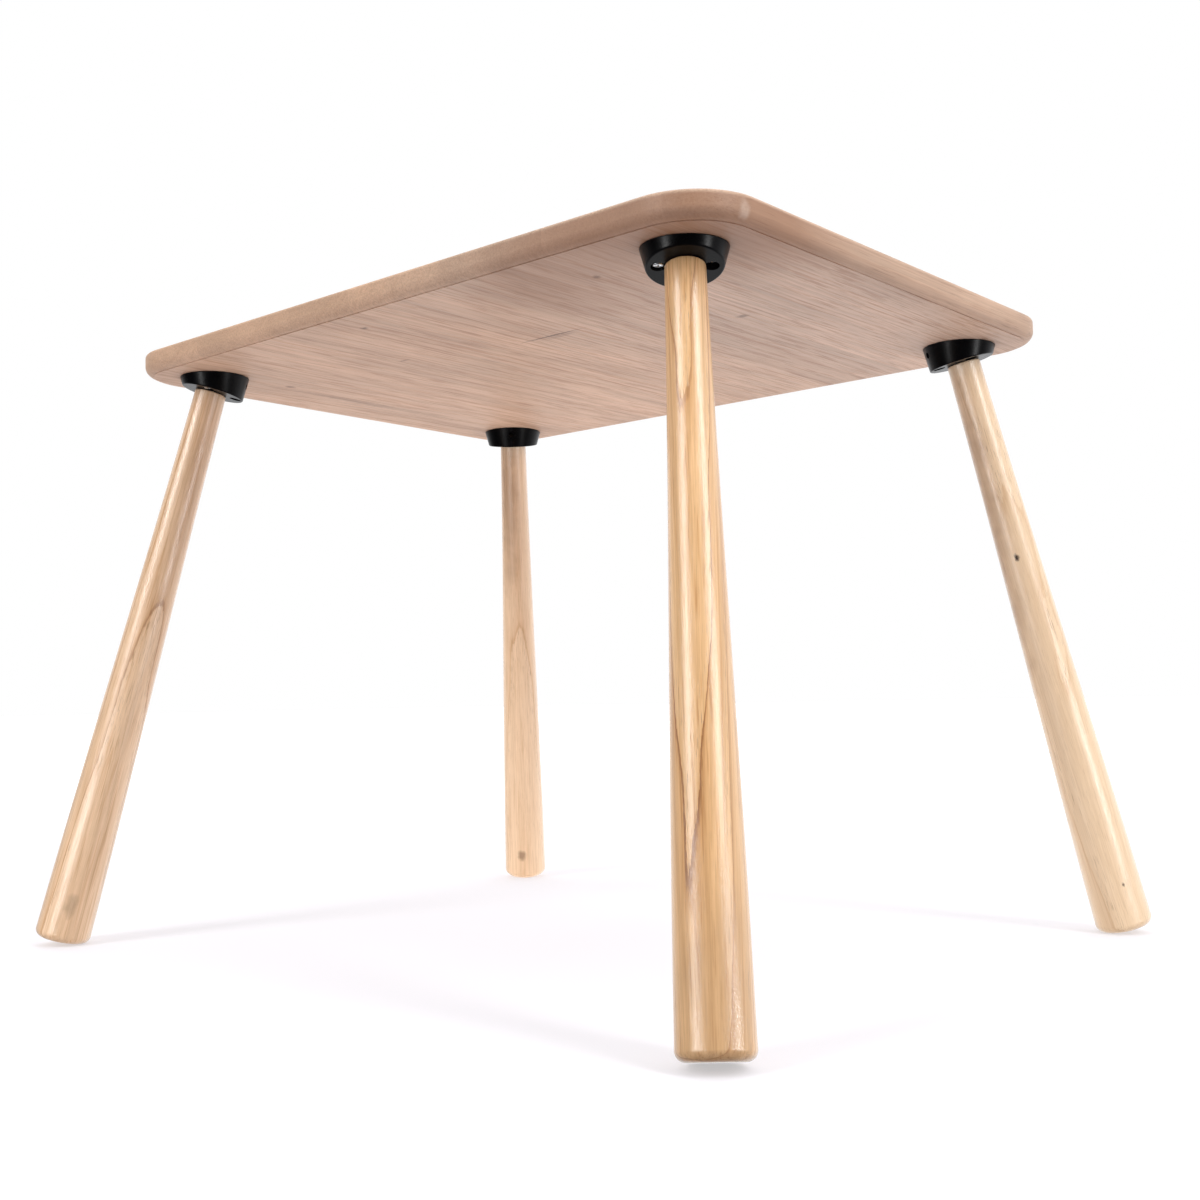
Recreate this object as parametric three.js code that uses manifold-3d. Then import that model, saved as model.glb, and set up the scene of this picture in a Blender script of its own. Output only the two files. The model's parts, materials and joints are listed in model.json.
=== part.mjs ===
// A child's table: a rounded wooden top on four splayed legs that screw into wedge-shaped plates.
// Millimetres, +Z up. The feet stand on z = 0 and the middle of the top is over the origin.
// X runs along the long side of the top.

import * as THREE from 'three';
import { mergeVertices } from 'three/addons/utils/BufferGeometryUtils.js';
import Module from 'manifold-3d';

const wasm = await Module();
wasm.setup();

// Top
const TOP_LENGTH = 600;
const TOP_WIDTH = 450;
const TOP_THICKNESS = 17;
const CORNER_RADIUS = 47;
const CORNER_STEPS = 10;
const UNDERSIDE_HEIGHT = 455;
const LOWER_ROUND = 7;
const UPPER_ROUND = 3;
const ROUND_STEPS = 4;
const LIP_HEIGHT = 0.5;          // the roundover starts this far above the underside

// Where the legs stand
const SPLAY = THREE.MathUtils.degToRad(14.6);      // lean of a leg from the vertical
const HEADING = THREE.MathUtils.degToRad(49);      // direction of that lean, measured from X
const PLATE_X = 245;
const PLATE_Y = 174;

// Leg plate, measured down from the underside
const PLATE_RADIUS = 27.5;
const PLATE_DRAFT = 0.28;        // the side wall closes in by this much for each millimetre down
const PLATE_BLANK_DEPTH = 24;    // depth of the cone before its lower end is cut on the slant
const FACE_DISTANCE = 12.8;      // from the underside to the slanted face, along the leg
const WINDOW_RADIUS = 2.4;       // blind hole in the thick side of the wall
const WINDOW_DEPTH = 4;
const WINDOW_DROP = 7;

// Plate screws, upright, at these turns from the plate's thick side
const SCREW_TURNS = { inner: 0, left: 100, right: -100 };
const SCREW_CIRCLE_RADIUS = 16.4;
// The crown of each head lies this far inside the slanted face, at the screw's axis. The screw towards the
// long side of the top is driven nearly flush, and the one towards the short side is driven deep.
const INNER_SINK = 1.8;
const LONG_SIDE_SINK = 0.5;
const SHORT_SIDE_SINK = 2.8;
const SCREW_HEAD_RADIUS = 3.5;
const SCREW_HEAD_HEIGHT = 2.4;
const SCREW_SHANK_RADIUS = 1.9;
const SCREW_GRIP = 12;           // length of the screw in the top
const SCREW_TIP = 3;
const DRIVE_RADIUS = 1.3;
const DRIVE_DEPTH = 1.3;
const SHANK_HOLE_RADIUS = 2.4;
const COUNTERBORE_RADIUS = 4.6;
const PILOT_RADIUS = 2.2;

// Threaded insert and hanger bolt, M8
const BORE_START = 2;            // blind end of the plate's bore, along the leg's axis
const INSERT_BORE_RADIUS = 5.9;
const INSERT_RADIUS = 5.6;
const INSERT_THREAD_RADIUS = 4.2;
const INSERT_START = 2.3;
const INSERT_GROOVE = 0.6;
const BOLT_RADIUS = 3.95;
const BOLT_START = 2.8;
const BOLT_CHAMFER = 1;
const BOLT_IN_LEG = 32;
const BOLT_TIP = 6;
const LEG_HOLE_RADIUS = 4.3;

// Leg
const LEG_TOP_RADIUS = 12.4;
const LEG_FOOT_RADIUS = 21.2;
const LEG_EVEN_TAPER = 0.56;     // share of the taper that is a straight cone; the rest is an S curve
const LEG_TOP_ROUND = 1;
const FOOT_ROUND = 6;
const LEG_STEPS = 8;

const GAP = 0.3;                 // between touching pieces
const COARSE = 12;               // sides of a small hole or screw
const FINE = 24;                 // sides of a leg or plate

// The foot is cut square, so it stands on its rounded rim: the leg's length along its axis follows from that.
const FOOT_RISE = (LEG_FOOT_RADIUS - FOOT_ROUND) * Math.sin(SPLAY) + FOOT_ROUND * (1 - Math.cos(SPLAY));
const LEG_END = (UNDERSIDE_HEIGHT - FOOT_RISE) / Math.cos(SPLAY);
const LEG_START = FACE_DISTANCE + GAP;

const finishes = {
  top: new THREE.MeshStandardMaterial({ color: 0xc09a7c, roughness: 0.6, metalness: 0 }),
  leg: new THREE.MeshStandardMaterial({ color: 0xd9ad78, roughness: 0.5, metalness: 0 }),
  plate: new THREE.MeshStandardMaterial({ color: 0x0b0b0d, roughness: 0.35, metalness: 0 }),
  screw: new THREE.MeshStandardMaterial({ color: 0xc8cacd, roughness: 0.3, metalness: 1 }),
  insert: new THREE.MeshStandardMaterial({ color: 0xb8924a, roughness: 0.35, metalness: 1 }),
  bolt: new THREE.MeshStandardMaterial({ color: 0xa9adb2, roughness: 0.35, metalness: 1 }),
};

// ---- Solids ----

// Turns a closed geometry, moved by a matrix, into a solid that can be cut and joined.
function solid(geometry, matrix = new THREE.Matrix4()) {
  const moved = geometry.clone().applyMatrix4(matrix);
  moved.deleteAttribute('normal');
  moved.deleteAttribute('uv');
  const merged = mergeVertices(moved, 1e-4);
  const vertProperties = new Float32Array(merged.attributes.position.array);
  const triVerts = new Uint32Array(merged.index.array);
  return new wasm.Manifold(new wasm.Mesh({ numProp: 3, vertProperties, triVerts }));
}

function toGeometry(manifold) {
  const mesh = manifold.getMesh();
  const geometry = new THREE.BufferGeometry();
  geometry.setAttribute('position', new THREE.BufferAttribute(mesh.vertProperties, 3));
  geometry.setIndex(new THREE.BufferAttribute(mesh.triVerts, 1));
  geometry.computeVertexNormals();
  return geometry;
}

// A turned shape: the profile is a list of [radius, height] points, and the axis is Z.
function turned(profile, sides) {
  const points = profile.map(([radius, height]) => new THREE.Vector2(radius, height));
  return new THREE.LatheGeometry(points, sides).rotateX(Math.PI / 2);
}

// A round drill from one height to another on the Z axis.
function drill(radius, from, to, sides = COARSE) {
  const geometry = new THREE.CylinderGeometry(radius, radius, to - from, sides);
  return geometry.rotateX(Math.PI / 2).translate(0, 0, (from + to) / 2);
}

function shift(x, y, z) {
  return new THREE.Matrix4().makeTranslation(x, y, z);
}

// ---- Places ----

// A corner of the table has its origin on the underside, at the middle of its plate. Its local X points out,
// the way the leg leans, and Z is up.
const corners = [
  { name: 'front_right', sideX: 1, sideY: -1 },
  { name: 'front_left', sideX: -1, sideY: -1 },
  { name: 'back_right', sideX: 1, sideY: 1 },
  { name: 'back_left', sideX: -1, sideY: 1 },
];

function cornerMatrix(corner) {
  const heading = Math.atan2(corner.sideY * Math.sin(HEADING), corner.sideX * Math.cos(HEADING));
  const turn = new THREE.Matrix4().makeRotationZ(heading);
  return shift(corner.sideX * PLATE_X, corner.sideY * PLATE_Y, UNDERSIDE_HEIGHT).multiply(turn);
}

// From leg coordinates, where Z runs down the leg's axis from the underside, to a corner's.
const legTilt = new THREE.Matrix4().makeRotationY(Math.PI - SPLAY);

// The height of the plate's slanted face, in a corner's coordinates, at a distance out from the middle.
function faceHeight(out) {
  return -(FACE_DISTANCE - out * Math.sin(SPLAY)) / Math.cos(SPLAY);
}

function screwSink(corner, turn) {
  if (turn === 0) {
    return INNER_SINK;
  }
  const towardsLongSide = turn * corner.sideX * corner.sideY < 0;
  return towardsLongSide ? LONG_SIDE_SINK : SHORT_SIDE_SINK;
}

// A corner's screws in its coordinates, with the height of each crown and of the seat under its head.
function cornerScrews(corner) {
  return Object.entries(SCREW_TURNS).map(([name, turn]) => {
    const angle = Math.PI + THREE.MathUtils.degToRad(turn);
    const x = SCREW_CIRCLE_RADIUS * Math.cos(angle);
    const y = SCREW_CIRCLE_RADIUS * Math.sin(angle);
    const crown = faceHeight(x) + screwSink(corner, turn);
    return { name, x, y, crown, seat: crown + SCREW_HEAD_HEIGHT + GAP };
  });
}

// ---- Pieces ----

function topOutline(inset) {
  const halfLength = TOP_LENGTH / 2 - inset;
  const halfWidth = TOP_WIDTH / 2 - inset;
  const radius = CORNER_RADIUS - inset;
  const quarter = Math.PI / 2;
  const outline = new THREE.Shape();
  outline.absarc(halfLength - radius, -halfWidth + radius, radius, -quarter, 0);
  outline.absarc(halfLength - radius, halfWidth - radius, radius, 0, quarter);
  outline.absarc(-halfLength + radius, halfWidth - radius, radius, quarter, 2 * quarter);
  outline.absarc(-halfLength + radius, -halfWidth + radius, radius, 2 * quarter, 3 * quarter);
  return outline;
}

// A slab of the top's outline whose two rims are both rounded by the same radius.
function roundedSlab(round, bottom, top) {
  return new THREE.ExtrudeGeometry(topOutline(0), {
    depth: top - bottom - 2 * round,
    curveSegments: CORNER_STEPS,
    bevelThickness: round,
    bevelSize: round,
    bevelOffset: -round,
    bevelSegments: ROUND_STEPS,
  }).translate(0, 0, bottom + round);
}

function tabletop() {
  const bottom = UNDERSIDE_HEIGHT;
  const top = UNDERSIDE_HEIGHT + TOP_THICKNESS;
  const lower = solid(roundedSlab(LOWER_ROUND, bottom + LIP_HEIGHT, top + LOWER_ROUND));
  const upper = solid(roundedSlab(UPPER_ROUND, bottom - UPPER_ROUND, top));
  const panelSettings = { depth: TOP_THICKNESS / 2, curveSegments: CORNER_STEPS, bevelEnabled: false };
  const panel = solid(new THREE.ExtrudeGeometry(topOutline(LOWER_ROUND), panelSettings), shift(0, 0, bottom));
  let body = lower.intersect(upper).add(panel);
  for (const corner of corners) {
    for (const screw of cornerScrews(corner)) {
      const place = cornerMatrix(corner).multiply(shift(screw.x, screw.y, 0));
      body = body.subtract(solid(drill(PILOT_RADIUS, -1, SCREW_GRIP + GAP), place));
    }
  }
  return toGeometry(body);
}

function legPlate(corner) {
  const lowerRadius = PLATE_RADIUS - PLATE_DRAFT * PLATE_BLANK_DEPTH;
  const blank = turned([[0, -PLATE_BLANK_DEPTH], [lowerRadius, -PLATE_BLANK_DEPTH],
    [PLATE_RADIUS, -GAP], [0, -GAP]], FINE);
  const waste = new THREE.BoxGeometry(100, 100, 40).translate(0, 0, FACE_DISTANCE + 20);
  let body = solid(blank).subtract(solid(waste, legTilt));
  body = body.subtract(solid(drill(INSERT_BORE_RADIUS, BORE_START, PLATE_BLANK_DEPTH), legTilt));
  for (const screw of cornerScrews(corner)) {
    const place = shift(screw.x, screw.y, 0);
    body = body.subtract(solid(drill(SHANK_HOLE_RADIUS, -PLATE_BLANK_DEPTH, 1), place));
    body = body.subtract(solid(drill(COUNTERBORE_RADIUS, -PLATE_BLANK_DEPTH, screw.seat), place));
  }
  const wallRadius = PLATE_RADIUS - PLATE_DRAFT * WINDOW_DROP;
  const window = drill(WINDOW_RADIUS, -PLATE_RADIUS - 1, WINDOW_DEPTH - wallRadius).rotateY(Math.PI / 2);
  body = body.subtract(solid(window, shift(0, 0, -WINDOW_DROP)));
  return toGeometry(body);
}

// A closed ring: a barrel with a groove round its middle that keys it into the plastic.
function threadedInsert() {
  const end = FACE_DISTANCE - GAP;
  const middle = (INSERT_START + end) / 2;
  const groove = INSERT_RADIUS - INSERT_GROOVE;
  return turned([
    [INSERT_THREAD_RADIUS, INSERT_START],
    [INSERT_RADIUS, INSERT_START],
    [INSERT_RADIUS, middle - 1],
    [groove, middle - 1],
    [groove, middle + 1],
    [INSERT_RADIUS, middle + 1],
    [INSERT_RADIUS, end],
    [INSERT_THREAD_RADIUS, end],
    [INSERT_THREAD_RADIUS, INSERT_START],
  ], COARSE);
}

function hangerBolt() {
  const end = LEG_START + BOLT_IN_LEG;
  return turned([
    [0, BOLT_START],
    [BOLT_RADIUS - BOLT_CHAMFER, BOLT_START],
    [BOLT_RADIUS, BOLT_START + BOLT_CHAMFER],
    [BOLT_RADIUS, end - BOLT_TIP],
    [BOLT_CHAMFER, end - BOLT_CHAMFER],
    [0, end],
  ], COARSE);
}

function legRadius(along) {
  const share = along / LEG_END;
  const curve = (1 - Math.cos(Math.PI * share)) / 2;
  const taper = LEG_EVEN_TAPER * share + (1 - LEG_EVEN_TAPER) * curve;
  return THREE.MathUtils.lerp(LEG_TOP_RADIUS, LEG_FOOT_RADIUS, taper);
}

// The foot's rounded rim, from the wall to the square end, with a point where it meets the floor.
function footRim() {
  const angles = [90, 60, 35].map(THREE.MathUtils.degToRad).concat(SPLAY, 0);
  return angles.map((angle) => [
    LEG_FOOT_RADIUS - FOOT_ROUND * (1 - Math.sin(angle)),
    LEG_END - FOOT_ROUND * (1 - Math.cos(angle)),
  ]);
}

function leg() {
  const holeEnd = LEG_START + BOLT_IN_LEG + GAP;
  const wallStart = LEG_START + LEG_TOP_ROUND;
  const wallEnd = LEG_END - FOOT_ROUND;
  const profile = [
    [0, holeEnd],
    [LEG_HOLE_RADIUS, holeEnd],
    [LEG_HOLE_RADIUS, LEG_START],
    [LEG_TOP_RADIUS - LEG_TOP_ROUND, LEG_START],
  ];
  for (let step = 0; step < LEG_STEPS; step += 1) {
    const along = THREE.MathUtils.lerp(wallStart, wallEnd, step / LEG_STEPS);
    profile.push([legRadius(along), along]);
  }
  profile.push(...footRim(), [0, LEG_END]);
  return turned(profile, FINE);
}

// An upright screw, with its crown at the bottom and its drive recess open below.
function plateScrew(screw) {
  const shoulder = screw.crown + SCREW_HEAD_HEIGHT;
  return turned([
    [0, screw.crown + DRIVE_DEPTH],
    [DRIVE_RADIUS, screw.crown + DRIVE_DEPTH],
    [DRIVE_RADIUS, screw.crown],
    [SCREW_HEAD_RADIUS - 0.8, screw.crown],
    [SCREW_HEAD_RADIUS, screw.crown + 0.8],
    [SCREW_HEAD_RADIUS, shoulder],
    [SCREW_SHANK_RADIUS, shoulder],
    [SCREW_SHANK_RADIUS, SCREW_GRIP - SCREW_TIP],
    [0, SCREW_GRIP],
  ], COARSE);
}

// ---- Assembly ----

const table = new THREE.Group();

function addPiece(parent, name, geometry, finish, matrix = new THREE.Matrix4()) {
  const mesh = new THREE.Mesh(geometry, finishes[finish]);
  mesh.name = name;
  mesh.applyMatrix4(matrix);
  parent.add(mesh);
}

addPiece(table, 'tabletop', tabletop(), 'top');

const pieces = { insert: threadedInsert(), bolt: hangerBolt(), leg: leg() };

for (const corner of corners) {
  const place = new THREE.Group();
  place.applyMatrix4(cornerMatrix(corner));
  table.add(place);
  addPiece(place, `leg_plate_${corner.name}`, legPlate(corner), 'plate');
  addPiece(place, `threaded_insert_${corner.name}`, pieces.insert, 'insert', legTilt);
  addPiece(place, `hanger_bolt_${corner.name}`, pieces.bolt, 'bolt', legTilt);
  addPiece(place, `leg_${corner.name}`, pieces.leg, 'leg', legTilt);
  for (const screw of cornerScrews(corner)) {
    const upright = shift(screw.x, screw.y, 0);
    addPiece(place, `plate_screw_${screw.name}_${corner.name}`, plateScrew(screw), 'screw', upright);
  }
}

export default table;
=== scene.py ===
# %% [markdown]
# # A child's table on four screw-in legs
# The table is a rounded wooden top, four black plastic wedges under it, and four turned legs that screw
# into the wedges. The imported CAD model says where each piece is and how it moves. This lesson gives every
# piece its finished surface: rounded edges, threads, screw recesses, wood grain and moulded plastic. We
# work in metres, and we read every position from the frame.

# %% Load the frame
import json
import math

import bmesh
import bpy
from mathutils import Matrix, Vector


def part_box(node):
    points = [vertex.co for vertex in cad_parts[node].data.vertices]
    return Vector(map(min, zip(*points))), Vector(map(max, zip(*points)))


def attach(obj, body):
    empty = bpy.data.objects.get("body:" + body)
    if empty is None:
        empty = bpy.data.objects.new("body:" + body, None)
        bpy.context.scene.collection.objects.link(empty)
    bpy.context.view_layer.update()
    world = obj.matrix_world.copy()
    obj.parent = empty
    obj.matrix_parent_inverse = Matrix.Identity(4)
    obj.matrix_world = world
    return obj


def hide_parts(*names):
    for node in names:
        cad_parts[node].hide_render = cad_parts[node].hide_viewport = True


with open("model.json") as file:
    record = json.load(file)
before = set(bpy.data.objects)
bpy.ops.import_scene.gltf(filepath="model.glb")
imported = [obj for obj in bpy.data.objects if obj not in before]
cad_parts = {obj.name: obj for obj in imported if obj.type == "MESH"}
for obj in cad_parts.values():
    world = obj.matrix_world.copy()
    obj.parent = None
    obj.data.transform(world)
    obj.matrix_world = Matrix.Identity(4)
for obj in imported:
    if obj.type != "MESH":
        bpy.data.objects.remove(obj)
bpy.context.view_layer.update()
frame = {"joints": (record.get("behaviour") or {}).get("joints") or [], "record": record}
MM = 0.001

# %% [markdown]
# ## Where things are
# A leg's joint gives the line that the leg turns on. From it we make two sets of coordinates for each
# corner. Corner coordinates have their origin on the underside at the middle of the plate, X pointing out
# the way the leg leans, and Z up. Leg coordinates share that origin, but Z runs down the leg and X points
# in, to the thick side of the plate. Every piece is modelled in one of these, and then its mesh is moved
# into place.

# %% Corner and leg coordinates
CORNERS = ("front_right", "front_left", "back_right", "back_left")
joints = {joint["name"]: joint for joint in frame["joints"]}
sample_axis = Vector(joints["leg_turn_front_right"]["axis"]).normalized()
SPLAY = math.acos(-sample_axis.z)
UNDERSIDE = joints["leg_turn_front_right"]["pos_m"][2]
TOP_FACE = frame["record"]["mounts"][0]["pos_m"][2]


def corner_frame(corner):
    joint = joints[f"leg_turn_{corner}"]
    heading = math.atan2(joint["axis"][1], joint["axis"][0])
    return Matrix.Translation(joint["pos_m"]) @ Matrix.Rotation(heading, 4, "Z")


def leg_frame(corner):
    return corner_frame(corner) @ Matrix.Rotation(math.pi - SPLAY, 4, "Y")


print("legs lean", round(math.degrees(SPLAY), 2), "degrees; underside at", UNDERSIDE)

# %% [markdown]
# ## The camera
# The table is seen from below its top, standing almost level with the knees of a small child. The camera
# looks slightly up, and it is rolled by one degree.

# %% Camera
CAMERA_PLACE = Vector((0.7631, -0.8475, 0.1846))
CAMERA_HEADING = math.radians(41.238)
CAMERA_RISE = math.radians(3.992)
CAMERA_ROLL = math.radians(-1.0)
CAMERA_LENS = 43.22

camera_data = bpy.data.cameras.new("camera")
camera_data.lens = CAMERA_LENS
camera_data.sensor_width = 36.0
camera = bpy.data.objects.new("camera", camera_data)
aim = Matrix.Rotation(CAMERA_HEADING, 4, "Z") @ Matrix.Rotation(math.pi / 2 + CAMERA_RISE, 4, "X")
camera.matrix_world = Matrix.Translation(CAMERA_PLACE) @ aim @ Matrix.Rotation(CAMERA_ROLL, 4, "Z")
bpy.context.scene.collection.objects.link(camera)
bpy.context.scene.camera = camera
print("camera", tuple(round(value, 3) for value in CAMERA_PLACE))

# %% [markdown]
# ## Small helpers for materials
# A procedural material is a graph of nodes. `add` makes one node, sets its options, and fills its inputs
# with either a plain value or a link from another node. `calc` is the same for a Math node. With them, a
# material reads as a short list of steps.

# %% Node helpers


def fill(tree, made, inputs):
    for key, value in inputs.items():
        if isinstance(value, bpy.types.NodeSocket):
            tree.links.new(value, made.inputs[key])
        else:
            made.inputs[key].default_value = value


def add(tree, kind, inputs=None, **options):
    made = tree.nodes.new("ShaderNode" + kind)
    for key, value in options.items():
        setattr(made, key, value)
    fill(tree, made, inputs or {})
    return made


def calc(tree, operation, first, second=0.0, third=0.0, clamp=False):
    inputs = {0: first, 1: second, 2: third}
    return add(tree, "Math", inputs, operation=operation, use_clamp=clamp).outputs[0]


def vector_calc(tree, operation, first, second):
    return add(tree, "VectorMath", {0: first, 1: second}, operation=operation).outputs[0]


def noise(tree, place, scale, detail=2.0, roughness=0.5):
    inputs = {"Vector": place, "Scale": scale, "Detail": detail, "Roughness": roughness}
    return add(tree, "TexNoise", inputs).outputs


def ramp(tree, value, stops, ease="LINEAR"):
    made = add(tree, "ValToRGB", {"Fac": value})
    made.color_ramp.interpolation = ease
    elements = made.color_ramp.elements
    while len(elements) < len(stops):
        elements.new(0.5)
    for element, (place, tone) in zip(elements, stops):
        element.position = place
        element.color = (*tone, 1.0) if hasattr(tone, "__len__") else (tone, tone, tone, 1.0)
    return made.outputs["Color"]


def remap(tree, value, low, high, new_low, new_high):
    inputs = {"Value": value, "From Min": low, "From Max": high, "To Min": new_low, "To Max": new_high}
    return add(tree, "MapRange", inputs).outputs[0]


def blend_colour(tree, share, first, second, mode="MIX"):
    made = add(tree, "Mix", data_type="RGBA", blend_type=mode)
    fill(tree, made, {0: share, 6: first, 7: second})
    return made.outputs[2]


def start_material(name):
    material = bpy.data.materials.new(name)
    material.use_nodes = True
    tree = material.node_tree
    shader = tree.nodes.get("Principled BSDF") or add(tree, "BsdfPrincipled")
    return material, tree, shader


# A pattern is turned and centred by a Mapping node on Object coordinates, so it stays with the piece.
def piece_place(tree, matrix):
    coordinates = add(tree, "TexCoord").outputs["Object"]
    inputs = {"Vector": coordinates, "Location": matrix.translation, "Rotation": matrix.to_euler()}
    return add(tree, "Mapping", inputs).outputs[0]


print("node helpers ready")

# %% [markdown]
# ## Wood
# A tree grows in rings, so real grain is a solid pattern: the stripes on a board and the arches on a
# turned leg are where the surface cuts the same rings. We build it that way. In grain coordinates Z runs
# along the trunk, and the distance from the pith, bent by soft noise, says which ring a point is in. Each
# ring goes slowly from pale early wood to a dark line of late wood. Fine fibres and pores are noise that
# is stretched along Z.

# %% Rings, fibres and pores


def wood_figure(tree, place, pith, ring_width, bend):
    """Where in its growth ring a point is (0 to 1), and a tone of its own for each ring."""
    stretched = vector_calc(tree, "MULTIPLY", place, (1.0, 1.0, 0.16))
    drift = vector_calc(tree, "SUBTRACT", noise(tree, stretched, 9.0, 3.0)["Color"], (0.5, 0.5, 0.5))
    drift = vector_calc(tree, "MULTIPLY", drift, (bend, bend, 0.0))
    bent = vector_calc(tree, "ADD", place, drift)
    from_pith = vector_calc(tree, "SUBTRACT", bent, (*pith, 0.0))
    across = vector_calc(tree, "MULTIPLY", from_pith, (1.0, 1.0, 0.0))
    radius = add(tree, "VectorMath", {0: across}, operation="LENGTH").outputs["Value"]
    uneven = noise(tree, stretched, 55.0, 1.0)["Fac"]
    count = calc(tree, "MULTIPLY_ADD", uneven, 0.9, calc(tree, "DIVIDE", radius, ring_width))
    ragged = noise(tree, stretched, 900.0, 2.0)["Fac"]
    count = calc(tree, "MULTIPLY_ADD", ragged, 0.06, count)
    phase = calc(tree, "FRACT", count)
    number = calc(tree, "FLOOR", count)
    ring = add(tree, "TexWhiteNoise", {"W": number}, noise_dimensions="1D").outputs["Value"]
    return phase, ring


def fibres(tree, place, across, along, detail=3.0):
    """Fine streaks that run with the grain, from 0 to 1."""
    stretched = vector_calc(tree, "MULTIPLY", place, (across, across, along))
    return noise(tree, stretched, 1.0, detail, 0.6)["Fac"]


print("wood helpers ready")

# %% [markdown]
# ## The leg's wood
# The legs are a pale ring-porous wood with brown growth lines under a thin satin lacquer. Each leg is cut
# from another part of a plank, so each gets its own pith: the side of the leg that faces the pith shows
# straight stripes, and the sides where the taper slices across the rings show long arches. A mark is
# given as its distance along the leg, its turn round it, its half width, its half length, its strength
# and its colour.

# %% Leg wood
LEG_PALE = (0.80, 0.565, 0.345)
LEG_WARM = (0.66, 0.41, 0.215)
LEG_LATE = (0.34, 0.165, 0.07)


def leg_wood(name, corner, pith, tilt, ring_width, paleness, tint, marks):
    material, tree, shader = start_material(name)
    local = piece_place(tree, leg_frame(corner).inverted())
    lean = Matrix.Rotation(math.radians(tilt[0]), 4, "X") @ Matrix.Rotation(math.radians(tilt[1]), 4, "Y")
    place = piece_place(tree, lean @ leg_frame(corner).inverted())
    phase, ring = wood_figure(tree, place, pith, ring_width, 0.010)
    stops = ((0.0, 0.7), (0.02, 0.1), (0.08, 0.0), (0.6, 0.06), (0.88, 0.22), (0.95, 0.5), (0.98, 1.0))
    late = ramp(tree, phase, stops)
    late = calc(tree, "MULTIPLY", late, remap(tree, ring, 0.0, 1.0, 0.3, 1.0))
    late = calc(tree, "MULTIPLY", late, 1.0 - paleness)
    colour = ramp(tree, late, ((0.0, LEG_PALE), (0.45, LEG_WARM), (1.0, LEG_LATE)))
    # The tint is partly the leg's own tone and partly painted light and shade.
    colour = blend_colour(tree, 1.0, colour, (*tint, 1.0), "MULTIPLY")
    streaks = fibres(tree, place, 1100.0, 12.0)
    streak_tones = ramp(tree, streaks, ((0.3, (0.88, 0.83, 0.76)), (0.7, 1.07)))
    colour = blend_colour(tree, 1.0 - paleness / 2, colour, streak_tones, "MULTIPLY")
    bands = fibres(tree, place, 240.0, 2.5, 2.0)
    band_tones = ramp(tree, bands, ((0.32, (0.84, 0.78, 0.70)), (0.62, (1.06, 1.05, 1.04))))
    colour = blend_colour(tree, 0.9 - paleness, colour, band_tones, "MULTIPLY")
    lines = ramp(tree, fibres(tree, place, 620.0, 4.0, 2.0), ((0.57, 1.0), (0.63, (0.80, 0.68, 0.54))))
    colour = blend_colour(tree, 0.8 - paleness, colour, lines, "MULTIPLY")
    pores = ramp(tree, fibres(tree, place, 1800.0, 60.0, 1.0), ((0.33, 1.0), (0.39, 0.0)))
    pores = calc(tree, "MULTIPLY", pores, ramp(tree, phase, ((0.0, 1.0), (0.35, 0.25))))
    colour = blend_colour(tree, calc(tree, "MULTIPLY", pores, 0.65), colour, (0.32, 0.17, 0.07, 1.0))
    for along, turn, size, length, tone, blotch in marks:
        angle = math.radians(turn)
        radius = leg_radius(along)
        spot = (radius * math.cos(angle), radius * math.sin(angle), along)
        colour = blot(tree, colour, local, spot, (size, size, length), tone, blotch)
    patches = noise(tree, local, 40.0)["Fac"]
    rough = calc(tree, "MULTIPLY_ADD", patches, 0.12, remap(tree, streaks, 0.3, 0.7, 0.3, 0.4))
    height = calc(tree, "MULTIPLY_ADD", pores, -0.8, calc(tree, "MULTIPLY", streaks, 0.5))
    bump = add(tree, "Bump", {"Height": height, "Strength": 0.4, "Distance": 0.0002}).outputs[0]
    peel = noise(tree, vector_calc(tree, "MULTIPLY", local, (1.0, 1.0, 0.6)), 1000.0, 2.0)["Fac"]
    film_inputs = {"Height": peel, "Strength": 0.6, "Distance": 0.0004, "Normal": bump}
    film = add(tree, "Bump", film_inputs).outputs[0]
    fill(tree, shader, {"Base Color": colour, "Roughness": rough, "Normal": bump})
    fill(tree, shader, {"Coat Weight": 1.0, "Coat Roughness": 0.2, "Coat Normal": film})
    return material


# A mark on the wood, such as a knot, a check, a stain, a scuff, painted shade or a painted sheen: a
# soft-edged blot with a ragged outline.
def blot(tree, colour, local, spot, sizes, tone, blotch=(0.05, 0.022, 0.010)):
    wobble = vector_calc(tree, "SUBTRACT", noise(tree, local, 0.7 / min(sizes))["Color"], (0.5, 0.5, 0.5))
    wobble = vector_calc(tree, "MULTIPLY", wobble, (1.1, 1.1, 1.1))
    offset = vector_calc(tree, "DIVIDE", vector_calc(tree, "SUBTRACT", local, spot), sizes)
    offset = vector_calc(tree, "ADD", offset, wobble)
    distance = add(tree, "VectorMath", {0: offset}, operation="LENGTH").outputs["Value"]
    shade = remap(tree, distance, 0.35, 1.0, tone, 0.0)
    return blend_colour(tree, shade, colour, (*blotch, 1.0))
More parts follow.
